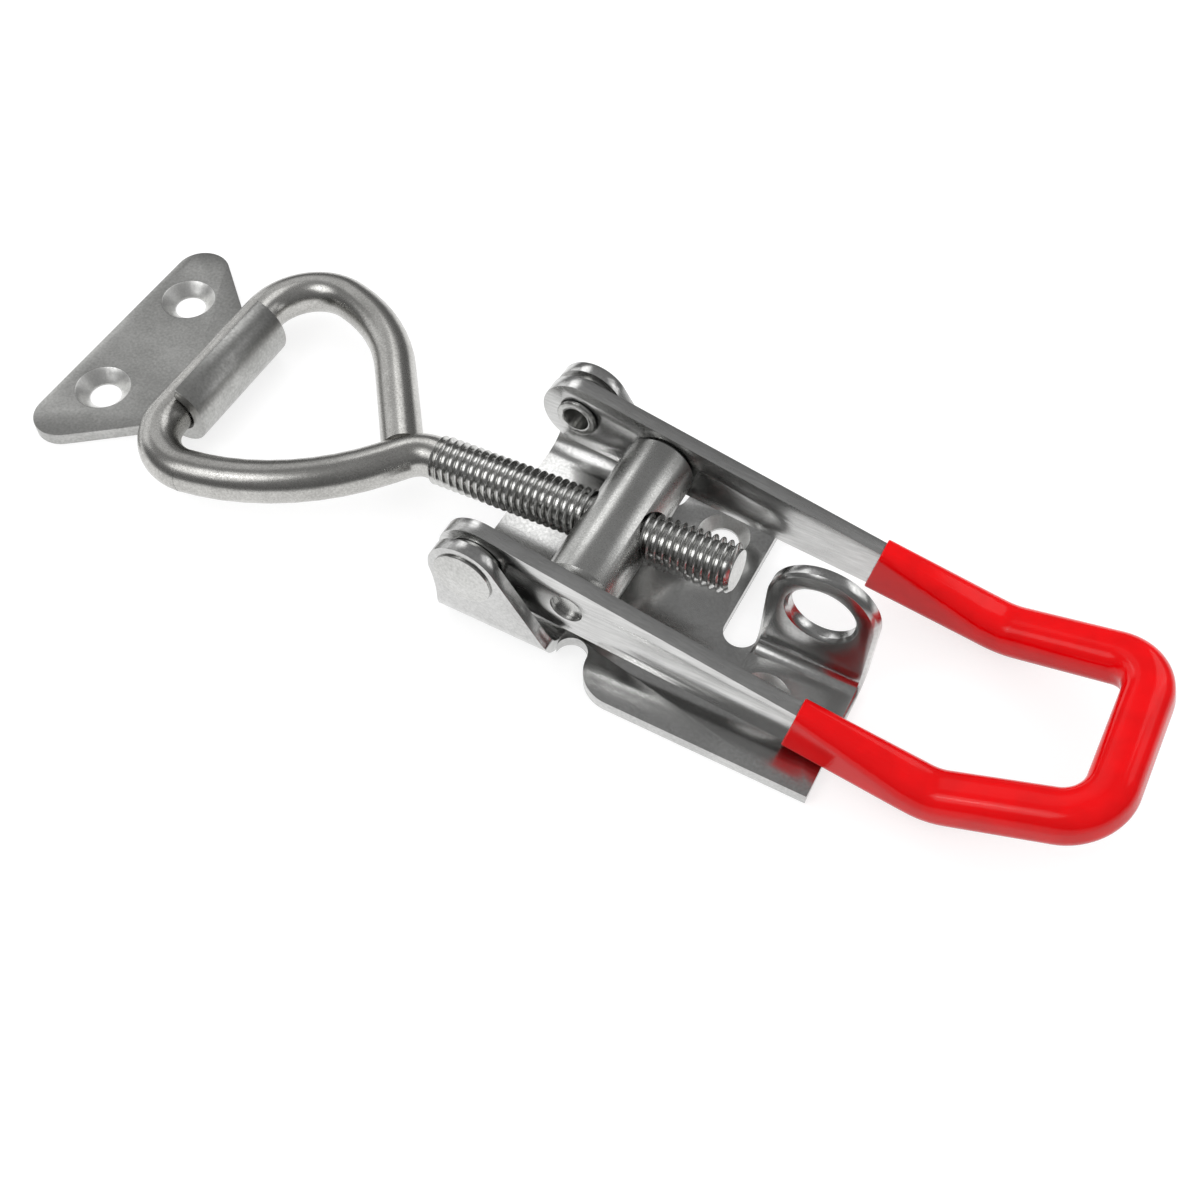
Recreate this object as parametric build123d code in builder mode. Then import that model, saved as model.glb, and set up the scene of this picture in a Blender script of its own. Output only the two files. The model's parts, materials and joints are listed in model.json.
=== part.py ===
from build123d import *
import os
from math import asin, atan2, cos, degrees, hypot, radians, sin

# Over centre toggle latch, in millimetres, latched.
# The origin is on the mounting face, under the lever's pivot and on the centre plane.
# X points to the handle, Z away from the mounting face.

# Base plate: one folded sheet
sheet = 2.0
ear_bend_inner = 4.5
pivot_height = 14.6
ear_half_width = 20.4
ear_end_radius = 5.9
ear_foot_rear = 13.4
ear_foot_height = 6.0
ear_foot_round = 1.5
ear_scoop_depth = 0.9
ear_scoop_radius = 22.0
floor_rear = 34.0
relief_depth = 5.8
wing_front = 18.4
wing_step = 2.1
wing_corner_radius = 6.0

# Tail and lock tab
tab_bend_inner = 2.5
slot_width = 5.4
slot_end_y = -4.5
tab_half_width = 8.5
tab_far_face = -0.1
tab_edge_chamfer = 0.5
lock_hole_radius = 5.15
lock_hole_height = 14.6

# Screw holes
screw_hole_radius = 2.6
sink_radius = 4.2
keeper_sink_radius = 4.6
sink_angle = 90
far_screw = (26.6, 13.5)
tail_screw = (44.1, -10.6)

# Lever: one strip folded into a U
strip = 2.5
ear_gap = 1.5
arm_end_radius = 6.15
kink_x = 71.9
kink_height = 5.0
kink_radius = 3.0
handle_rise = 21.5
handle_length = 22.6
handle_taper = 2.1
handle_corner_radius = 6.5
handle_turn_radius = 12.0

# Dipped grip
grip_start = 51.0
grip_front_coat = 0.9
grip_front_round = 1.6
grip_width = 7.2
grip_round = 2.9
grip_kink_radius = 8.0
grip_kink_lead = 4.0

# Pivot rivets and spacer washers
shank_radius = 2.75
rivet_bore_radius = 2.1
rivet_head_radius = 4.7
rivet_head_height = 1.1
rivet_head_rim = 0.5
rivet_head_flat = 1.2
rivet_dome_radius = 12.0
flare_radius = 3.4
flare_thickness = 0.6
flare_chamfer = 0.2
washer_radius = 4.4

# Trunnion
trunnion_x = 14.9
trunnion_height = 12.4
trunnion_radius = 5.7
trunnion_chamfer = 0.9
stub_radius = 2.55
stub_recess = 0.8

# Hook bolt: along the rod from the trunnion's centre, with the loop's bends taken from its bar
thread_radius = 4.0
thread_rear = 19.2
thread_chamfer = 0.8
wire_radius = 3.4
bar_reach = 76.6
loop_offset = 2.9
loop_length = 41.3
neck_length = 3.0
shank_bend_radius = 6.0
near_reach = 23.0
near_corner_radius = 8.8
near_knee = (26.3, -20.4)
near_knee_radius = 43.0
far_reach = 25.3
far_corner_radius = 9.4
far_knee = (22.0, 18.9)
far_knee_radius = 28.0
far_leg_end = (38.4, -3.4)

# Keeper
keeper_sheet = 2.3
keeper_offset = 3.2
keeper_length = 23.3
keeper_flare_half_width = 29.5
keeper_corner_radius = 4.8
tongue_offset = 1.9
tongue_half_width = 11.4
tongue_root = 2.1
curl_end_angle = 76
keeper_screw_setback = 16.4
keeper_screw_spacing = 23.6

# Fits
running_clearance = 0.05
face_clearance = 0.1
bar_clearance = 0.35
trunnion_side_clearance = 0.3

# Places that follow from the sizes above
ear_top = pivot_height + ear_end_radius
ear_inner = ear_half_width - sheet
relief_half_width = ear_half_width - relief_depth
wing_half_width = ear_half_width + wing_step
tail_front = floor_rear + slot_width
tail_rear = tail_front + 2 * tab_half_width
tab_x = tail_front + tab_half_width
tab_centre_y = tab_far_face - sheet / 2
arm_half_width = ear_inner - ear_gap
arm_centre_y = arm_half_width - strip / 2
arm_inner = arm_half_width - strip
handle_half_width = arm_half_width - handle_taper
handle_centre_y = handle_half_width - strip / 2
shank_bend = bar_reach - loop_length
thread_front = shank_bend - neck_length
bar_height = keeper_sheet + bar_clearance + wire_radius
rod_tilt = degrees(asin((trunnion_height - bar_height) / bar_reach))
bar_x = trunnion_x - bar_reach * cos(radians(rod_tilt))
keeper_rear = bar_x - keeper_length
tongue_root_x = bar_x - tongue_root
curl_inner = wire_radius + bar_clearance
curl_centre = curl_inner + keeper_sheet / 2

arm_drop = atan2(pivot_height - kink_height, kink_x)
arm_length = hypot(kink_x, pivot_height - kink_height)
grip_front_half_height = arm_end_radius + (kink_radius - arm_end_radius) * grip_start / arm_length + grip_front_coat

pivot_axis = Plane.XZ.shift_origin((0, 0, pivot_height))
arm_plane = Plane(
    origin=(0, 0, pivot_height),
    x_dir=(cos(arm_drop), 0, -sin(arm_drop)),
    z_dir=(sin(arm_drop), 0, cos(arm_drop)),
)
handle_plane = Plane(
    origin=(kink_x, 0, kink_height),
    x_dir=(cos(radians(handle_rise)), 0, sin(radians(handle_rise))),
    z_dir=(-sin(radians(handle_rise)), 0, cos(radians(handle_rise))),
)
rod_plane = Plane(
    origin=(trunnion_x, 0, trunnion_height),
    x_dir=(cos(radians(rod_tilt)), 0, sin(radians(rod_tilt))),
    z_dir=(-sin(radians(rod_tilt)), 0, cos(radians(rod_tilt))),
)
rod_section = Plane(rod_plane.origin, x_dir=(0, 1, 0), z_dir=rod_plane.x_dir)


def save(piece, label):
    """Name a finished piece and write it out."""
    piece.part.label = label
    export_step(piece.part, f"parts/{label}.step")


os.makedirs("parts", exist_ok=True)

# Ears: a folded channel, trimmed to the ears' side outline
with BuildPart() as ears:
    with BuildSketch(Plane.YZ.offset(-ear_end_radius)):
        with BuildLine() as channel_line:
            FilletPolyline(
                (sheet / 2 - ear_half_width, ear_top),
                (sheet / 2 - ear_half_width, sheet / 2),
                (ear_half_width - sheet / 2, sheet / 2),
                (ear_half_width - sheet / 2, ear_top),
                radius=ear_bend_inner + sheet / 2,
            )
        trace(channel_line.line, line_width=sheet)
    extrude(amount=ear_end_radius + ear_foot_rear)
    with BuildSketch(Plane.XZ):
        with BuildSketch(Plane.XZ, mode=Mode.PRIVATE) as ear_slope:
            with Locations((0, pivot_height)):
                Circle(ear_end_radius)
            with Locations((ear_foot_rear - ear_foot_round, ear_foot_height - ear_foot_round)):
                Circle(ear_foot_round)
            make_hull()
        add(ear_slope.sketch_local)
        with Locations((-ear_end_radius, 0)):
            Rectangle(ear_end_radius + ear_foot_rear, ear_foot_height - ear_foot_round, align=(Align.MIN, Align.MIN))
            Rectangle(2 * ear_end_radius, pivot_height, align=(Align.MIN, Align.MIN))
        with Locations((-ear_end_radius - ear_scoop_radius + ear_scoop_depth, pivot_height / 2)):
            Circle(ear_scoop_radius, mode=Mode.SUBTRACT)
    extrude(amount=ear_half_width, both=True, mode=Mode.INTERSECT)

# Lock tab: folded up from the tail, with a round top about the lock hole
with BuildPart() as tab:
    with BuildSketch(Plane.YZ.offset(tail_front)):
        with BuildLine() as tab_line:
            FilletPolyline(
                (slot_end_y - wing_corner_radius, sheet / 2),
                (tab_centre_y, sheet / 2),
                (tab_centre_y, lock_hole_height + tab_half_width),
                radius=tab_bend_inner + sheet / 2,
            )
        trace(tab_line.line, line_width=sheet)
    extrude(amount=2 * tab_half_width)
    with BuildSketch(Plane.XZ):
        with Locations((tab_x, lock_hole_height)):
            Circle(tab_half_width)
        with Locations((tab_x, 0)):
            Rectangle(2 * tab_half_width, lock_hole_height, align=(Align.CENTER, Align.MIN))
        with Locations((tab_x, lock_hole_height)):
            Circle(lock_hole_radius, mode=Mode.SUBTRACT)
    extrude(amount=wing_half_width, both=True, mode=Mode.INTERSECT)
    tab_face = tab.faces().sort_by(SortBy.AREA)[-2:].sort_by(Axis.Y)[0]
    chamfer(tab_face.edges().filter_by(GeomType.CIRCLE), length=tab_edge_chamfer)

with BuildPart() as base_plate:
    with BuildSketch() as floor:
        with Locations((ear_foot_rear, 0)):
            Rectangle(floor_rear - ear_foot_rear, 2 * wing_half_width, align=(Align.MIN, Align.CENTER))
        with Locations((floor_rear, -wing_half_width)):
            Rectangle(
                tail_rear - floor_rear,
                wing_half_width + slot_end_y - wing_corner_radius,
                align=(Align.MIN, Align.MIN),
            )
        with Locations((floor_rear, 0)):
            Rectangle(slot_width, 2 * (wing_corner_radius - slot_end_y), align=(Align.MIN, Align.CENTER))
        for side in (-1, 1):
            with Locations(((ear_foot_rear + wing_front) / 2, side * wing_half_width)):
                SlotOverall(
                    2 * (wing_half_width - relief_half_width),
                    wing_front - ear_foot_rear,
                    rotation=90,
                    mode=Mode.SUBTRACT,
                )
        with Locations((floor_rear + slot_width / 2, slot_end_y + wing_half_width)):
            SlotOverall(2 * wing_half_width, slot_width, rotation=90, mode=Mode.SUBTRACT)
    extrude(amount=sheet)
    upright = base_plate.edges().filter_by(Axis.Z)
    wing_corners = upright.filter_by_position(Axis.X, wing_front - face_clearance, wing_front + face_clearance)
    fillet(wing_corners.sort_by(SortBy.DISTANCE)[-2:], radius=wing_corner_radius)
    add(ears.part)
    add(tab.part)
    with Locations((*far_screw, sheet), (*tail_screw, sheet)):
        CounterSinkHole(screw_hole_radius, sink_radius, counter_sink_angle=sink_angle)
    with BuildSketch(pivot_axis):
        Circle(shank_radius)
    extrude(amount=ear_half_width, both=True, mode=Mode.SUBTRACT)
save(base_plate, "base_plate")

# Lever: the U seen square to the handle, trimmed to the strip's side outline
with BuildPart() as lever:
    with BuildSketch(handle_plane):
        with BuildLine() as strip_line:
            FilletPolyline(
                (-kink_x - arm_end_radius, -arm_centre_y),
                (0, -arm_centre_y),
                (handle_length, -handle_centre_y),
                (handle_length, handle_centre_y),
                (0, arm_centre_y),
                (-kink_x - arm_end_radius, arm_centre_y),
                radius=[handle_turn_radius, handle_corner_radius, handle_corner_radius, handle_turn_radius],
            )
        trace(strip_line.line, line_width=strip)
    extrude(amount=kink_x, both=True)
    with BuildSketch(Plane.XZ) as strip_side:
        with BuildSketch(Plane.XZ, mode=Mode.PRIVATE) as arm_side:
            with Locations((0, pivot_height)):
                Circle(arm_end_radius)
            with Locations((kink_x, kink_height)):
                Circle(kink_radius)
            make_hull()
        add(arm_side.sketch_local)
        with Locations(Location((kink_x, kink_height), handle_rise)):
            Rectangle(handle_length + strip, 2 * kink_radius, align=(Align.MIN, Align.CENTER))
    extrude(amount=arm_half_width, both=True, mode=Mode.INTERSECT)
    with BuildSketch(pivot_axis):
        Circle(shank_radius + running_clearance)
        with Locations((trunnion_x, trunnion_height - pivot_height)):
            Circle(stub_radius + running_clearance)
    extrude(amount=arm_half_width, both=True, mode=Mode.SUBTRACT)
save(lever, "lever")

# Grip: a dipped coat over the strip, flat at its front and swelling to a rounded bar at the handle
with BuildPart() as grip:
    with BuildLine() as grip_line:
        grip_points = [
            arm_plane.from_local_coords((arm_length - grip_kink_lead, arm_centre_y, 0)),
            handle_plane.from_local_coords((0, arm_centre_y, 0)),
            handle_plane.from_local_coords((handle_length, handle_centre_y, 0)),
            handle_plane.from_local_coords((handle_length, -handle_centre_y, 0)),
            handle_plane.from_local_coords((0, -arm_centre_y, 0)),
            arm_plane.from_local_coords((arm_length - grip_kink_lead, -arm_centre_y, 0)),
        ]
        FilletPolyline(
            *grip_points,
            radius=[grip_kink_radius, handle_corner_radius, handle_corner_radius, grip_kink_radius],
        )
    with BuildSketch(Plane(grip_points[0], x_dir=(0, 1, 0), z_dir=grip_line.line % 0)):
        RectangleRounded(grip_width, grip_width, grip_round)
    sweep(path=grip_line.line)
    for side in (-1, 1):
        front = arm_plane.from_local_coords((grip_start, side * arm_centre_y, 0))
        with BuildSketch(Plane(front, x_dir=(0, 1, 0), z_dir=arm_plane.x_dir)):
            RectangleRounded(strip + 2 * grip_front_coat, 2 * grip_front_half_height, grip_front_round)
        swell = arm_plane.from_local_coords((arm_length - grip_kink_lead, side * arm_centre_y, 0))
        with BuildSketch(Plane(swell, x_dir=(0, 1, 0), z_dir=arm_plane.x_dir)):
            RectangleRounded(grip_width, grip_width, grip_round)
        loft()
    add(lever.part, mode=Mode.SUBTRACT)
save(grip, "grip")

# Pivot rivets: domed head outside the ear, tube through washer and arm, flared inside
flare_face = arm_inner - face_clearance
flare_end = flare_face - flare_thickness
head_end = ear_half_width + rivet_head_height
with BuildPart() as pivot_rivet_far:
    with BuildSketch(Plane.XY):
        with BuildLine():
            Polyline(
                (rivet_head_flat, head_end),
                (0, head_end),
                (0, ear_inner),
                (rivet_bore_radius, ear_inner),
                (rivet_bore_radius, flare_end),
                (flare_radius - flare_chamfer, flare_end),
                (flare_radius, flare_end + flare_chamfer),
                (flare_radius, flare_face),
                (shank_radius, flare_face),
                (shank_radius, ear_half_width),
                (rivet_head_radius, ear_half_width),
                (rivet_head_radius, ear_half_width + rivet_head_rim),
            )
            RadiusArc(
                (rivet_head_radius, ear_half_width + rivet_head_rim),
                (rivet_head_flat, head_end),
                rivet_dome_radius,
            )
        make_face()
    revolve(axis=Axis.Y)
pivot_rivet_far.part.position = (0, 0, pivot_height)
save(pivot_rivet_far, "pivot_rivet_far")

with BuildPart() as pivot_rivet_near:
    add(pivot_rivet_far.part)
    mirror(about=Plane.XZ, mode=Mode.REPLACE)
save(pivot_rivet_near, "pivot_rivet_near")

# Spacer washers between each ear and its arm
with BuildPart() as spacer_washer_far:
    with BuildSketch(pivot_axis.offset(-ear_inner)):
        Circle(washer_radius)
        Circle(shank_radius + running_clearance, mode=Mode.SUBTRACT)
    extrude(amount=ear_inner - arm_half_width - face_clearance)
save(spacer_washer_far, "spacer_washer_far")

with BuildPart() as spacer_washer_near:
    add(spacer_washer_far.part)
    mirror(about=Plane.XZ, mode=Mode.REPLACE)
save(spacer_washer_near, "spacer_washer_near")

# Trunnion: round bar with stub ends and a cross hole for the rod
barrel_half_length = arm_inner - trunnion_side_clearance
with BuildPart() as trunnion:
    with BuildSketch(Plane.XZ.shift_origin((trunnion_x, 0, trunnion_height))):
        Circle(trunnion_radius)
    extrude(amount=barrel_half_length, both=True)
    chamfer(trunnion.edges().filter_by(GeomType.CIRCLE), length=trunnion_chamfer)
    with BuildSketch(Plane.XZ.shift_origin((trunnion_x, 0, trunnion_height))):
        Circle(stub_radius)
    extrude(amount=arm_half_width - stub_recess, both=True)
    with BuildSketch(rod_section):
        Circle(thread_radius + running_clearance)
    extrude(amount=trunnion_radius, both=True, mode=Mode.SUBTRACT)
save(trunnion, "trunnion")

# Hook bolt: threaded rod, wire loop and its welded end
with BuildPart() as hook_bolt:
    with BuildSketch(rod_section.offset(-thread_front)):
        Circle(thread_radius)
    extrude(amount=thread_front + thread_rear)
    chamfer(hook_bolt.edges().filter_by(GeomType.CIRCLE).sort_by(Axis.X)[-1], length=thread_chamfer)
    chamfer(hook_bolt.edges().filter_by(GeomType.CIRCLE).sort_by(Axis.X)[0], length=thread_chamfer / 2)
    with BuildLine(rod_plane) as near_wire:
        FilletPolyline(
            (-thread_front, 0),
            (-shank_bend, 0),
            (near_knee[0] - bar_reach, near_knee[1] + loop_offset),
            (-bar_reach, loop_offset - near_reach),
            (-bar_reach, loop_offset),
            radius=[shank_bend_radius, near_knee_radius, near_corner_radius],
        )
    with BuildSketch(Plane(near_wire.line @ 0, z_dir=near_wire.line % 0)):
        Circle(wire_radius)
    sweep(path=near_wire.line)
    near_end = hook_bolt.faces().filter_by(GeomType.PLANE).sort_by(Axis.X)[0]
    with BuildLine(rod_plane) as far_wire:
        FilletPolyline(
            (-bar_reach, loop_offset),
            (-bar_reach, loop_offset + far_reach),
            (far_knee[0] - bar_reach, far_knee[1] + loop_offset),
            (far_leg_end[0] - bar_reach, far_leg_end[1] + loop_offset),
            radius=[far_corner_radius, far_knee_radius],
        )
    sweep(sections=near_end, path=far_wire.line)
save(hook_bolt, "hook_bolt")

# Keeper: flared plate with a tongue curled around the loop's bar
with BuildPart() as keeper:
    with BuildSketch() as keeper_plan:
        with BuildLine():
            Polyline(
                (keeper_rear, keeper_offset - keeper_flare_half_width),
                (tongue_root_x, tongue_offset - tongue_half_width),
                (tongue_root_x, tongue_offset + tongue_half_width),
                (keeper_rear, keeper_offset + keeper_flare_half_width),
                close=True,
            )
        make_face()
        fillet(keeper_plan.vertices().group_by(Axis.X)[0], radius=keeper_corner_radius)
    extrude(amount=keeper_sheet)
    with BuildSketch(Plane.XZ.offset(-tongue_offset)):
        with BuildLine() as curl_line:
            Line((tongue_root_x, keeper_sheet / 2), (bar_x, keeper_sheet / 2))
            CenterArc((bar_x, bar_height), curl_centre, -90, 90 + curl_end_angle)
        trace(curl_line.line, line_width=keeper_sheet)
    extrude(amount=tongue_half_width, both=True)
    with Locations((keeper_rear + keeper_length - keeper_screw_setback, keeper_offset, keeper_sheet)):
        with GridLocations(0, keeper_screw_spacing, 1, 2):
            CounterSinkHole(screw_hole_radius, keeper_sink_radius, counter_sink_angle=sink_angle)
save(keeper, "keeper")
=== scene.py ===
"""Looks of an over centre toggle latch with a lock tab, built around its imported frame.

Every length in this file is in metres and every place is in the frame of the part:
the origin on the mounting face under the lever's pivot, X towards the handle, Z up.
"""

import json
import logging
import math
from dataclasses import dataclass, field
from enum import Enum

import bmesh
import bpy
from mathutils import Matrix, Vector

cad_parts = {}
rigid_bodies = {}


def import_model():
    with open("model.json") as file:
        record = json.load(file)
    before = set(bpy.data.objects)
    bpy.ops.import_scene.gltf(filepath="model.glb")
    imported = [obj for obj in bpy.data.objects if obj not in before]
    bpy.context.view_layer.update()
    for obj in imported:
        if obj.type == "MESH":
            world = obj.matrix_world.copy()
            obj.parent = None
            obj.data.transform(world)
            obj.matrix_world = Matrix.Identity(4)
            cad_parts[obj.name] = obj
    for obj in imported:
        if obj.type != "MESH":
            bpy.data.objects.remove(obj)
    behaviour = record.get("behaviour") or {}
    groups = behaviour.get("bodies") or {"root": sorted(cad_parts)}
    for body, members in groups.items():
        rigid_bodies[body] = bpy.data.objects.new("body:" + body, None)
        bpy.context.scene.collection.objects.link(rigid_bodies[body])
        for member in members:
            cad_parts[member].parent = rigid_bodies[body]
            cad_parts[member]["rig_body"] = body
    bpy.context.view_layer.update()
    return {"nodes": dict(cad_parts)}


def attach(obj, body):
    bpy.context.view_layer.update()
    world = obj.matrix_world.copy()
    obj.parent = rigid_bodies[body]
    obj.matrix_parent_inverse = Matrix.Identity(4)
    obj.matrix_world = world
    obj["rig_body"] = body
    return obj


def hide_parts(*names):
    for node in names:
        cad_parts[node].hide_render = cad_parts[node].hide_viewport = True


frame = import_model()

LOG = logging.getLogger("latch")
MM = 0.001
WHITE = (1.0, 1.0, 1.0, 1.0)

CLOUD_SIZE = 9.0 * MM
GRAIN_DEPTH = 0.05 * MM
WAVE_DEPTH = 0.2 * MM
TINT_RANGE = (0.38, 0.62)
ROUGH_RANGE = (0.35, 0.65)

FLAT_ANGLE = math.radians(0.4)
MERGE_DISTANCE = 0.001 * MM
SHORT_EDGE = 0.01 * MM
SLIVER = 0.0005 * MM * MM

# Screw holes of the base and the keeper in mm, and how far and how steep their sunk rims are; those rims get
# a painted highlight
BASE_SINKS = ((26.6, 13.5), (44.1, -10.6))
KEEPER_SINKS = ((-77.84, 15.0), (-77.84, -8.6))
SINK_RADIUS = 5.4 * MM
SINK_SLOPE = (0.5, 0.9)

# Boxes around the two places that the finished base closes: an opening low in each ear and a groove
EAR_OPENING = (Vector((5.8, 17.8, 4.4)) * MM, Vector((8.3, 20.6, 6.0)) * MM)
TAB_GROOVE = (Vector((39.3, -10.6, 1.4)) * MM, Vector((39.5, -2.0, 2.0)) * MM)


def linear(hex_colour: str) -> tuple[float, float, float, float]:
    """Turn an sRGB hex colour into linear RGBA.

    Args:
        hex_colour: Six hex digits, such as "C8C8C8".

    Returns:
        The linear red, green and blue with an alpha of 1.
    """
    parts = [int(hex_colour[i:i + 2], 16) / 255 for i in (0, 2, 4)]
    red, green, blue = (c / 12.92 if c <= 0.04045 else ((c + 0.055) / 1.055) ** 2.4 for c in parts)
    return red, green, blue, 1.0


def add_node(tree: bpy.types.NodeTree, kind: str, settings: dict | None = None,
             inputs: dict | None = None) -> bpy.types.Node:
    """Add one shader node with its settings, input values and links.

    Args:
        tree: The node tree that gets the node.
        kind: The node's Blender type name.
        settings: Attributes to set on the node.
        inputs: Socket name or index to a value, or to an output socket to link from.

    Returns:
        The new node.
    """
    node = tree.nodes.new(kind)
    for name, value in (settings or {}).items():
        setattr(node, name, value)
    for name, value in (inputs or {}).items():
        if isinstance(value, bpy.types.NodeSocket):
            tree.links.new(value, node.inputs[name])
        else:
            node.inputs[name].default_value = value
    return node


class Grain(Enum):
    """How the mill or the tool left a metal's surface."""

    ROLLED = "rolled"
    DRAWN = "drawn"
    TUMBLED = "tumbled"


GRAIN_STRETCH = {Grain.ROLLED: (1.0, 1.0, 1.0), Grain.DRAWN: (0.08, 1.0, 1.0), Grain.TUMBLED: (1.0, 1.0, 1.0)}


@dataclass(frozen=True)
class Steel:
    """Stainless steel, told apart by how its surface was made.

    The colour, roughness and grain give the eye polished sheet, matte wire or turned bar.
    """

    name: str
    colour: str
    shade: str
    roughness: float
    spread: float
    grain: Grain
    grain_size: float
    bump: float

    def make(self) -> bpy.types.Material:
        """Build the material.

        Returns:
            A metallic material whose colour, roughness and bump vary with the grain.
        """
        material = bpy.data.materials.new(self.name)
        material.use_nodes = True
        tree = material.node_tree
        shader = tree.nodes["Principled BSDF"]
        shader.inputs["Metallic"].default_value = 1.0
        place = add_node(tree, "ShaderNodeTexCoord").outputs["Object"]
        mapping = add_node(tree, "ShaderNodeMapping", None,
                           {"Vector": place, "Scale": GRAIN_STRETCH[self.grain]})
        fine = add_node(tree, "ShaderNodeTexNoise", None,
                        {"Vector": mapping.outputs["Vector"], "Scale": 1 / self.grain_size, "Detail": 3.0})
        cloud = add_node(tree, "ShaderNodeTexNoise", None,
                         {"Vector": place, "Scale": 1 / CLOUD_SIZE, "Detail": 4.0, "Roughness": 0.6})
        half = add_node(tree, "ShaderNodeMath", {"operation": "MULTIPLY"}, {0: cloud.outputs["Fac"], 1: 0.5})
        blend = add_node(tree, "ShaderNodeMath", {"operation": "MULTIPLY_ADD", "use_clamp": True},
                         {0: fine.outputs["Fac"], 1: 0.5, 2: half.outputs[0]})
        tint = add_node(tree, "ShaderNodeValToRGB", None, {"Fac": blend.outputs[0]})
        tint.color_ramp.elements[0].position = TINT_RANGE[0]
        tint.color_ramp.elements[0].color = linear(self.shade)
        tint.color_ramp.elements[1].position = TINT_RANGE[1]
        tint.color_ramp.elements[1].color = linear(self.colour)
        tree.links.new(tint.outputs["Color"], shader.inputs["Base Color"])
        rough = add_node(tree, "ShaderNodeMapRange", None, {
            "Value": blend.outputs[0], "From Min": ROUGH_RANGE[0], "From Max": ROUGH_RANGE[1],
            "To Min": self.roughness + self.spread, "To Max": self.roughness - self.spread})
        tree.links.new(rough.outputs["Result"], shader.inputs["Roughness"])
        relief = add_node(tree, "ShaderNodeBump", None,
                          {"Strength": self.bump, "Distance": GRAIN_DEPTH, "Height": fine.outputs["Fac"]})
        tree.links.new(relief.outputs["Normal"], shader.inputs["Normal"])
        return material


@dataclass(frozen=True)
class DipCoat:
    """Glossy vinyl from a hot dip: even red with a slightly wavy skin.

    The two reds lie close together, so the eye reads one colour with a soft depth.
    """

    name: str = "dipped_red_vinyl"
    colour: str = "E60006"
    shade: str = "DC0005"
    roughness: float = 0.16
    sheen: float = 0.28
    wave: float = 5.0 * MM
    relief: float = 0.12

    def make(self) -> bpy.types.Material:
        """Build the material.

        Returns:
            A glossy red plastic with a faint long wave.
        """
        material = bpy.data.materials.new(self.name)
        material.use_nodes = True
        tree = material.node_tree
        shader = tree.nodes["Principled BSDF"]
        place = add_node(tree, "ShaderNodeTexCoord").outputs["Object"]
        wave = add_node(tree, "ShaderNodeTexNoise", None,
                        {"Vector": place, "Scale": 1 / self.wave, "Detail": 2.0})
        tint = add_node(tree, "ShaderNodeValToRGB", None, {"Fac": wave.outputs["Fac"]})
        tint.color_ramp.elements[0].position = 0.4
        tint.color_ramp.elements[0].color = linear(self.shade)
        tint.color_ramp.elements[1].position = 0.6
        tint.color_ramp.elements[1].color = linear(self.colour)
        tree.links.new(tint.outputs["Color"], shader.inputs["Base Color"])
        shader.inputs["Roughness"].default_value = self.roughness
        shader.inputs["Specular IOR Level"].default_value = self.sheen
        relief = add_node(tree, "ShaderNodeBump", None,
                          {"Strength": self.relief, "Distance": WAVE_DEPTH, "Height": wave.outputs["Fac"]})
        tree.links.new(relief.outputs["Normal"], shader.inputs["Normal"])
        return material


SATIN_SHEET = Steel("satin_stainless_sheet", "CACAC9", "B6B6B5", 0.22, 0.04, Grain.ROLLED, 0.5 * MM, 0.05)
SATIN_STRIP = Steel("satin_stainless_strip", "D0D0CF", "BCBCBB", 0.24, 0.04, Grain.DRAWN, 0.4 * MM, 0.05)
TURNED_BAR = Steel("brushed_turned_bar", "C8C8C6", "B0B0AE", 0.27, 0.05, Grain.TUMBLED, 0.3 * MM, 0.12)
DRAWN_WIRE = Steel("matte_drawn_wire", "C4C3C0", "A6A5A2", 0.27, 0.05, Grain.TUMBLED, 0.35 * MM, 0.12)
THREAD_STEEL = Steel("rolled_thread_steel", "D2D2D0", "B4B4B2", 0.19, 0.04, Grain.TUMBLED, 0.3 * MM, 0.12)
MATTE_SHEET = Steel("matte_stainless_sheet", "BCBCBA", "A0A09E", 0.33, 0.05, Grain.TUMBLED, 0.45 * MM, 0.14)
RIVET_STEEL = Steel("pressed_rivet_steel", "CACAC8", "B0B0AE", 0.22, 0.04, Grain.ROLLED, 0.5 * MM, 0.06)
# Lighter steel for the sunk rims of the screw holes: a painted highlight that stands in for their reflections
SINK_HIGHLIGHT_STEEL = Steel("painted_highlight_sink_steel", "F0F0EE", "DCDCDA", 0.40, 0.05, Grain.TUMBLED, 0.3 * MM, 0.10)
RED_DIP = DipCoat()


class Dresser:
    """Turns bmesh work into finished pieces that ride on their bodies."""

    def __init__(self) -> None:
        """Start with no materials made."""
        self._made: dict[str, bpy.types.Material] = {}

    def material(self, finish: Steel | DipCoat) -> bpy.types.Material:
        """Return the one material of a finish, made on first use."""
        if finish.name not in self._made:
            self._made[finish.name] = finish.make()
        return self._made[finish.name]

    def place(self, bm: bmesh.types.BMesh, name: str, node: str, slot: str, finish: Steel | DipCoat,
              sharp: float = 32.0) -> bpy.types.Object:
        """Turn a bmesh into a finished piece that stands for a node.

        Args:
            bm: The shape, in the frame of the part; it is freed here.
            name: The piece's name.
            node: The node that the piece replaces, whose body it rides on.
            slot: The record's material slot; not used.
            finish: The surface finish.
            sharp: The face angle in degrees past which an edge shades as sharp.

        Returns:
            The finished object.
        """
        mesh = bpy.data.meshes.new(name)
        bm.normal_update()
        bm.to_mesh(mesh)
        bm.free()
        for face in mesh.polygons:
            face.use_smooth = True
        mesh.set_sharp_from_angle(angle=math.radians(sharp))
        piece = bpy.data.objects.new(name, mesh)
        bpy.context.scene.collection.objects.link(piece)
        mesh.materials.append(self.material(finish))
        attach(piece, frame["nodes"][node]["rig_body"])
        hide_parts(node)
        LOG.info("%s: %d faces", name, len(mesh.polygons))
        return piece


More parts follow.
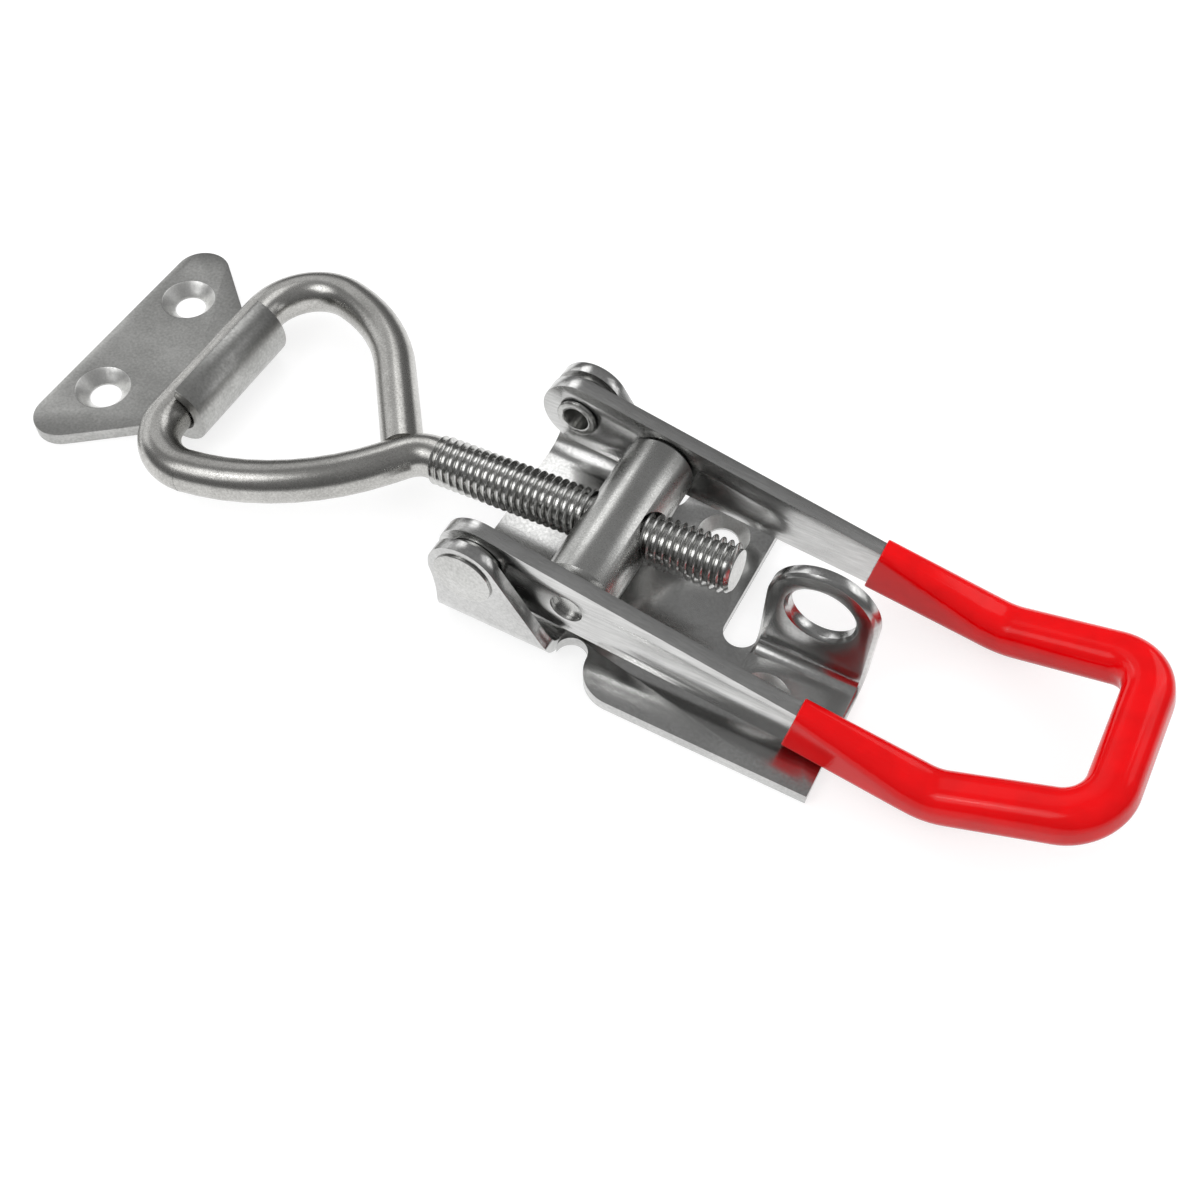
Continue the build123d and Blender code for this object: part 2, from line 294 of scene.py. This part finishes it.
def join_flats(bm: bmesh.types.BMesh) -> None:
    """Drop the slivers and join the triangles of flat areas.

    Args:
        bm: The shape.
    """
    bmesh.ops.dissolve_degenerate(bm, dist=SHORT_EDGE, edges=bm.edges)
    bmesh.ops.dissolve_limit(bm, angle_limit=FLAT_ANGLE, verts=bm.verts, edges=bm.edges)


def merged_copy(node: str) -> bmesh.types.BMesh:
    """Copy a node's triangles into a bmesh, merged and with flat areas joined.

    Args:
        node: The node's name.

    Returns:
        The merged copy.
    """
    bm = bmesh.new()
    bm.from_mesh(frame["nodes"][node].data)
    bmesh.ops.remove_doubles(bm, verts=bm.verts, dist=MERGE_DISTANCE)
    join_flats(bm)
    return bm


def close_opening(bm: bmesh.types.BMesh, low: Vector, high: Vector) -> None:
    """Close a small opening through an upright wall, on both sides of the latch.

    Args:
        bm: The shape.
        low: The low corner of a box around the opening's own walls, on the far side.
        high: The high corner of that box.
    """
    walls = []
    for face in bm.faces:
        place = face.calc_center_median()
        place.y = abs(place.y)
        if all(low[i] < place[i] < high[i] for i in range(3)) and abs(face.normal.y) < 0.3:
            walls.append(face)
    bmesh.ops.delete(bm, geom=walls, context="FACES")
    rims = [e for e in bm.edges if e.is_boundary]
    bmesh.ops.holes_fill(bm, edges=rims, sides=0)
    bmesh.ops.recalc_face_normals(bm, faces=bm.faces)


def close_groove(bm: bmesh.types.BMesh, low: Vector, high: Vector) -> None:
    """Raise the floor of a small groove to the top of the box that holds it.

    Args:
        bm: The shape.
        low: The low corner of a box around the groove's floor.
        high: The high corner of that box, at the level of the sheet's face.
    """
    for vert in bm.verts:
        if all(low[i] < vert.co[i] < high[i] for i in range(3)):
            vert.co.z = high.z
    bmesh.ops.remove_doubles(bm, verts=bm.verts, dist=2 * SHORT_EDGE)
    join_flats(bm)


def round_edges(bm: bmesh.types.BMesh, radius: float, segments: int, crease: float = 28.0) -> None:
    """Round every edge that is sharper than the crease angle.

    Args:
        bm: The shape.
        radius: The rounding's width.
        segments: The number of faces across the rounding.
        crease: The least face angle in degrees that is rounded.
    """
    limit = math.radians(crease)
    edges = [e for e in bm.edges if len(e.link_faces) == 2 and e.calc_face_angle(0.0) > limit
             and min(f.calc_area() for f in e.link_faces) > SLIVER]
    bmesh.ops.bevel(bm, geom=edges, offset=radius, offset_type="OFFSET", segments=segments, profile=0.5,
                    affect="EDGES", clamp_overlap=True, material=-1)


@dataclass
class PressedPiece:
    """A piece cut, folded or turned to its node's form, with its edges tumbled round.

    The sunk rims of its screw holes get a lighter steel, a painted highlight.
    Where the folded sheet is whole but the solid has a small opening or groove, the piece closes it.
    """

    node: str
    slot: str
    finish: Steel | DipCoat
    edge: float
    segments: int = 2
    sinks: tuple[tuple[float, float], ...] = ()
    opening: tuple[Vector, Vector] | None = None
    groove: tuple[Vector, Vector] | None = None

    def build(self, dresser: Dresser) -> bpy.types.Object:
        """Make the piece from its node.

        Args:
            dresser: Where the piece gets its finish.

        Returns:
            The finished object.
        """
        bm = merged_copy(self.node)
        if self.opening:
            close_opening(bm, *self.opening)
        if self.groove:
            close_groove(bm, *self.groove)
        round_edges(bm, self.edge, self.segments)
        for face in bm.faces:
            place = face.calc_center_median().xy
            near = any((place - Vector(sink) * MM).length < SINK_RADIUS for sink in self.sinks)
            # Faces of the sunk rims take the second material, the lighter steel of the painted highlight
            if near and SINK_SLOPE[0] < face.normal.z < SINK_SLOPE[1]:
                face.material_index = 1
        piece = dresser.place(bm, self.node + "_finished", self.node, self.slot, self.finish)
        if self.sinks:
            piece.data.materials.append(dresser.material(SINK_HIGHLIGHT_STEEL))
        return piece


class WireBender:
    """Bends round wire in one plane, as a bending machine does: feed straight, then turn."""

    def __init__(self, plane: Matrix, start: Vector, heading: float, radius: float, sides: int = 32) -> None:
        """Put the wire's first end in the machine.

        Args:
            plane: The bending plane: its X and Y hold the wire.
            start: The first end in the plane.
            heading: The direction in the plane, in radians from its X.
            radius: The wire's radius.
            sides: The number of faces around the wire.
        """
        self.plane = plane
        self.at = start.copy()
        self.heading = heading
        self.bm = bmesh.new()
        turn = Matrix.Rotation(heading, 4, "Z") @ Matrix.Rotation(math.pi / 2, 4, "Y")
        where = Matrix.Translation(start) @ turn
        bmesh.ops.create_circle(self.bm, segments=sides, radius=radius, cap_ends=True, matrix=where)
        self.end = list(self.bm.edges)

    def _take(self, geometry: list) -> None:
        """Keep the newest ring of edges as the wire's end."""
        self.end = [e for e in geometry if isinstance(e, bmesh.types.BMEdge)]

    def feed(self, length: float) -> None:
        """Push out a straight run of the given length."""
        step = Vector((math.cos(self.heading), math.sin(self.heading), 0.0)) * length
        out = bmesh.ops.extrude_edge_only(self.bm, edges=self.end)["geom"]
        bmesh.ops.translate(self.bm, vec=step, verts=[v for v in out if isinstance(v, bmesh.types.BMVert)])
        self._take(out)
        self.at += step

    def bend(self, radius: float, angle: float, step: float = math.radians(5.0)) -> None:
        """Bend the wire.

        Args:
            radius: The bend's radius at the wire's centre.
            angle: The turn in radians, to the left if positive.
            step: The turn of one slice.
        """
        side = math.copysign(1.0, angle)
        centre = self.at + Vector((-math.sin(self.heading), math.cos(self.heading), 0.0)) * radius * side
        slices = max(2, math.ceil(abs(angle) / step))
        out = bmesh.ops.spin(self.bm, geom=self.end, cent=centre, axis=(0.0, 0.0, 1.0), angle=angle,
                             steps=slices, use_duplicate=False, use_merge=False)["geom_last"]
        self._take(out)
        self.at = centre + Matrix.Rotation(angle, 3, "Z") @ (self.at - centre)
        self.heading += angle

    def route(self, corners: list[Vector], radii: list[float]) -> None:
        """Follow straight runs from the start through rounded corners to the last point.

        Args:
            corners: The corners and the last point.
            radii: The bend radius at each corner but the last point.
        """
        used = 0.0
        before = self.at.copy()
        for index, corner in enumerate(corners):
            run = (corner - before).length
            if index == len(radii):
                self.feed(run - used)
                return
            ahead = corners[index + 1] - corner
            turn = math.remainder(math.atan2(ahead.y, ahead.x) - self.heading, math.tau)
            cut = radii[index] * math.tan(abs(turn) / 2)
            self.feed(run - used - cut)
            self.bend(radii[index], turn)
            used = cut
            before = corner

    def finish(self) -> bmesh.types.BMesh:
        """Cap the last end, turn the faces outwards and move the wire to its plane.

        Returns:
            The closed wire.
        """
        bmesh.ops.edgeloop_fill(self.bm, edges=self.end)
        bmesh.ops.recalc_face_normals(self.bm, faces=self.bm.faces)
        bmesh.ops.transform(self.bm, matrix=self.plane, verts=self.bm.verts)
        return self.bm


@dataclass
class HookBolt:
    """The threaded rod and the wire loop that it ends in, in the rod's own plane."""

    pivot: Vector = field(default_factory=lambda: Vector((14.9, 0.0, 12.4)) * MM)
    drop: float = 6.35 * MM
    reach: float = 76.6 * MM
    wire: float = 3.4 * MM
    crest: float = 4.0 * MM
    pitch: float = 1.25 * MM
    depth_share: float = 0.6134
    thread_steps: int = 36
    thread_front: float = 32.3 * MM
    thread_rear: float = 19.2 * MM
    chamfer: float = 0.8 * MM
    lap: float = 1.5 * MM
    corners: tuple[tuple[float, float], ...] = (
        (-35.3, 0.0), (-50.3, -17.5), (-76.6, -20.1), (-76.6, 28.2), (-54.6, 21.8), (-38.2, -0.5))
    radii: tuple[float, ...] = (6.0, 43.0, 8.8, 9.4, 28.0)
    slot: str = "wire_steel"

    @property
    def tilt(self) -> float:
        """The rod's rise towards the handle, in radians."""
        return math.asin(self.drop / self.reach)

    @property
    def plane(self) -> Matrix:
        """The rod's plane: X along the rod, Y across the latch."""
        return Matrix.Translation(self.pivot) @ Matrix.Rotation(-self.tilt, 4, "Y")

    def loop(self) -> bmesh.types.BMesh:
        """Bend the loop from the thread round to the butted end.

        Returns:
            The closed wire.
        """
        start = Vector((-self.thread_front + self.lap, 0.0, 0.0))
        bender = WireBender(self.plane, start, math.pi, self.wire)
        bender.route([Vector((x, y, 0.0)) * MM for x, y in self.corners], [r * MM for r in self.radii])
        return bender.finish()

    def thread(self) -> bmesh.types.BMesh:
        """Roll the coarse thread on the rod.

        Returns:
            The closed threaded rod.
        """
        steps = self.thread_steps
        depth = self.depth_share * self.pitch
        root = self.crest - depth
        low = -self.thread_front - self.pitch
        turns = math.ceil((self.thread_front + self.thread_rear) / self.pitch) + 2
        outline = [(0.0, root), (0.22, root), (0.5, self.crest - 0.06 * depth), (0.58, self.crest),
                   (0.66, self.crest - 0.06 * depth), (0.94, root), (1.0, root)]
        bm = bmesh.new()
        verts = [bm.verts.new((low + share * self.pitch, 0.0, radius)) for share, radius in outline]
        edges = [bm.edges.new(pair) for pair in zip(verts, verts[1:])]
        bmesh.ops.spin(bm, geom=verts + edges, cent=(0.0, 0.0, 0.0), axis=(1.0, 0.0, 0.0),
                       dvec=(self.pitch / steps, 0.0, 0.0), angle=math.tau * turns, steps=steps * turns,
                       use_duplicate=False, use_merge=False)
        bmesh.ops.remove_doubles(bm, verts=bm.verts, dist=0.002 * MM)
        for end, side in ((-self.thread_front, -1.0), (self.thread_rear, 1.0)):
            everything = bm.verts[:] + bm.edges[:] + bm.faces[:]
            cut = bmesh.ops.bisect_plane(bm, geom=everything, dist=0.0001 * MM, plane_co=(end, 0.0, 0.0),
                                         plane_no=(side, 0.0, 0.0), clear_outer=True)
            rim = [e for e in cut["geom_cut"] if isinstance(e, bmesh.types.BMEdge)]
            bmesh.ops.edgeloop_fill(bm, edges=rim)
        for vert in bm.verts:
            room = min(vert.co.x + self.thread_front, self.thread_rear - vert.co.x)
            limit = self.crest - max(0.0, self.chamfer - room)
            across = Vector((0.0, vert.co.y, vert.co.z))
            if across.length > limit:
                across *= limit / across.length
                vert.co = (vert.co.x, across.y, across.z)
        bmesh.ops.recalc_face_normals(bm, faces=bm.faces)
        bmesh.ops.transform(bm, matrix=self.plane, verts=bm.verts)
        return bm

    def build(self, dresser: Dresser) -> list[bpy.types.Object]:
        """Make the loop and the threaded rod.

        Args:
            dresser: Where the pieces get their finish.

        Returns:
            The finished objects.
        """
        loop = dresser.place(self.loop(), "hook_loop", "hook_bolt", self.slot, DRAWN_WIRE, 60.0)
        rod = dresser.place(self.thread(), "hook_thread", "hook_bolt", self.slot, THREAD_STEEL, 40.0)
        return [loop, rod]


@dataclass(frozen=True)
class SoftBox:
    """One soft lamp: its place, the point that it faces, its width and height, and its power in watts."""

    name: str
    place: tuple[float, float, float]
    aim: tuple[float, float, float]
    size: tuple[float, float]
    power: float


MIDDLE = (0.0, 0.0, 0.01)
SOFT_BOXES = (
    SoftBox("key_box", (-0.24, -0.28, 0.45), MIDDLE, (0.32, 0.32), 0.52),
    SoftBox("key_bulb", (-0.20, -0.24, 0.42), MIDDLE, (0.02, 0.02), 0.05),
    SoftBox("left_card", (-0.50, 0.12, 0.14), MIDDLE, (0.40, 0.24), 0.26),
    SoftBox("back_card", (-0.36, 0.24, 0.36), MIDDLE, (0.34, 0.30), 0.14),
    SoftBox("right_card", (0.32, 0.30, 0.33), MIDDLE, (0.20, 0.20), 0.09),
    SoftBox("keeper_strip", (-0.062, 0.062, 0.086), (-0.062, 0.006, 0.006), (0.045, 0.06), 0.011),
    SoftBox("handle_strip", (0.095, 0.060, 0.060), (0.015, 0.0, 0.012), (0.05, 0.05), 0.008),
)


@dataclass
class Studio:
    """A pale floor, soft lights and the camera at the viewing angle of the picture."""

    camera_at: Vector = field(default_factory=lambda: Vector((72.695, -122.560, 190.728)) * MM)
    camera_right: Vector = field(default_factory=lambda: Vector((0.883737, 0.467629, 0.018232)))
    camera_forward: Vector = field(default_factory=lambda: Vector((-0.250876, 0.506277, -0.825073)))
    lens: float = 45.0
    sensor: float = 36.0
    floor_size: float = 6.0
    floor_colour: str = "A8A8A8"
    floor_roughness: float = 0.9
    floor_seen: float = 0.70
    mirrored_near: float = 0.78
    mirrored_far: float = 0.03
    fade_near: float = 0.06
    fade_far: float = 0.30
    room_low: float = 0.11
    room_high: float = 0.32
    tent: float = 0.95

    def camera(self) -> None:
        """Stand the camera at the picture's place and angle."""
        data = bpy.data.cameras.new("camera")
        data.lens = self.lens
        data.sensor_width = self.sensor
        data.clip_start = 0.01
        camera = bpy.data.objects.new("camera", data)
        bpy.context.scene.collection.objects.link(camera)
        back = -self.camera_forward.normalized()
        right = (self.camera_right - back * self.camera_right.dot(back)).normalized()
        up = back.cross(right)
        turn = Matrix((right, up, back)).transposed().to_4x4()
        camera.matrix_world = Matrix.Translation(self.camera_at) @ turn
        bpy.context.scene.camera = camera

    def floor(self) -> None:
        """Lay the pale floor just under the mounting face.

        The camera sees it white with a faint shadow, and the steel sees it fade into a dim room.
        """
        bm = bmesh.new()
        bmesh.ops.create_grid(bm, x_segments=1, y_segments=1, size=self.floor_size / 2)
        mesh = bpy.data.meshes.new("floor")
        bm.to_mesh(mesh)
        bm.free()
        floor = bpy.data.objects.new("floor", mesh)
        bpy.context.scene.collection.objects.link(floor)
        material = bpy.data.materials.new("white_paper")
        material.use_nodes = True
        tree = material.node_tree
        shader = tree.nodes["Principled BSDF"]
        shader.inputs["Base Color"].default_value = linear(self.floor_colour)
        shader.inputs["Roughness"].default_value = self.floor_roughness
        rays = add_node(tree, "ShaderNodeLightPath")
        place = add_node(tree, "ShaderNodeTexCoord").outputs["Object"]
        away = add_node(tree, "ShaderNodeVectorMath", {"operation": "LENGTH"}, {0: place})
        fade = add_node(tree, "ShaderNodeMapRange", {"interpolation_type": "SMOOTHSTEP"}, {
            "Value": away.outputs["Value"], "From Min": self.fade_near, "From Max": self.fade_far,
            "To Min": self.mirrored_near, "To Max": self.mirrored_far})
        mirrored = add_node(tree, "ShaderNodeMath", {"operation": "MULTIPLY"},
                            {0: rays.outputs["Is Glossy Ray"], 1: fade.outputs["Result"]})
        straight = add_node(tree, "ShaderNodeMath", {"operation": "MAXIMUM"},
                            {0: rays.outputs["Is Camera Ray"], 1: rays.outputs["Is Transmission Ray"]})
        glow = add_node(tree, "ShaderNodeMath", {"operation": "MULTIPLY_ADD"},
                        {0: straight.outputs[0], 1: self.floor_seen, 2: mirrored.outputs[0]})
        lit = add_node(tree, "ShaderNodeEmission", None, {"Color": WHITE, "Strength": glow.outputs[0]})
        both = add_node(tree, "ShaderNodeAddShader", None, {0: shader.outputs[0], 1: lit.outputs[0]})
        tree.links.new(both.outputs[0], tree.nodes["Material Output"].inputs["Surface"])
        mesh.materials.append(material)

    def sky(self) -> None:
        """Surround the part with an even soft tent, white to the camera and a dim room to the steel."""
        world = bpy.data.worlds.new("studio")
        world.use_nodes = True
        bpy.context.scene.world = world
        tree = world.node_tree
        background = tree.nodes["Background"]
        place = add_node(tree, "ShaderNodeTexCoord").outputs["Generated"]
        split = add_node(tree, "ShaderNodeSeparateXYZ", None, {"Vector": place})
        room = add_node(tree, "ShaderNodeValToRGB", None, {"Fac": split.outputs["Z"]})
        room.color_ramp.elements[0].position = 0.0
        room.color_ramp.elements[0].color = (self.room_low, self.room_low, self.room_low, 1.0)
        room.color_ramp.elements[1].position = 1.0
        room.color_ramp.elements[1].color = (self.room_high, self.room_high, self.room_high, 1.0)
        rays = add_node(tree, "ShaderNodeLightPath")
        tent = add_node(tree, "ShaderNodeMix", {"data_type": "RGBA"}, {
            "Factor": rays.outputs["Is Diffuse Ray"], 6: room.outputs["Color"],
            7: (self.tent, self.tent, self.tent, 1.0)})
        paper = add_node(tree, "ShaderNodeMix", {"data_type": "RGBA"}, {
            "Factor": rays.outputs["Is Camera Ray"], 6: tent.outputs[2], 7: WHITE})
        tree.links.new(paper.outputs[2], background.inputs["Color"])
        background.inputs["Strength"].default_value = 1.0

    def lamp(self, box: SoftBox) -> None:
        """Hang one soft box, unseen by the camera.

        Args:
            box: The lamp's place, aim, size and power.
        """
        data = bpy.data.lights.new(box.name, "AREA")
        data.shape = "RECTANGLE"
        data.size, data.size_y = box.size
        data.energy = box.power
        lamp = bpy.data.objects.new(box.name, data)
        bpy.context.scene.collection.objects.link(lamp)
        lamp.location = box.place
        lamp.rotation_euler = (Vector(box.aim) - Vector(box.place)).to_track_quat("-Z", "Y").to_euler()
        lamp.visible_camera = False

    def build(self) -> None:
        """Set the whole studio up."""
        self.camera()
        self.floor()
        self.sky()
        for box in SOFT_BOXES:
            self.lamp(box)
        bpy.context.scene.view_settings.view_transform = "Standard"


def main() -> None:
    """Dress every node, then set up the studio."""
    logging.basicConfig(level=logging.INFO)
    dresser = Dresser()
    pressed = [
        PressedPiece("base_plate", "satin_sheet", SATIN_SHEET, 0.25 * MM, sinks=BASE_SINKS,
                     opening=EAR_OPENING, groove=TAB_GROOVE),
        PressedPiece("lever", "satin_strip", SATIN_STRIP, 0.25 * MM),
        PressedPiece("grip", "red_dip", RED_DIP, 0.4 * MM, 3),
        PressedPiece("pivot_rivet_near", "rivet_steel", RIVET_STEEL, 0.15 * MM),
        PressedPiece("pivot_rivet_far", "rivet_steel", RIVET_STEEL, 0.15 * MM),
        PressedPiece("spacer_washer_near", "rivet_steel", RIVET_STEEL, 0.1 * MM),
        PressedPiece("spacer_washer_far", "rivet_steel", RIVET_STEEL, 0.1 * MM),
        PressedPiece("trunnion", "turned_steel", TURNED_BAR, 0.15 * MM),
        PressedPiece("keeper", "matte_sheet", MATTE_SHEET, 0.3 * MM, sinks=KEEPER_SINKS),
    ]
    for piece in pressed:
        piece.build(dresser)
    HookBolt().build(dresser)
    Studio().build()


if __name__ == "__main__":
    main()
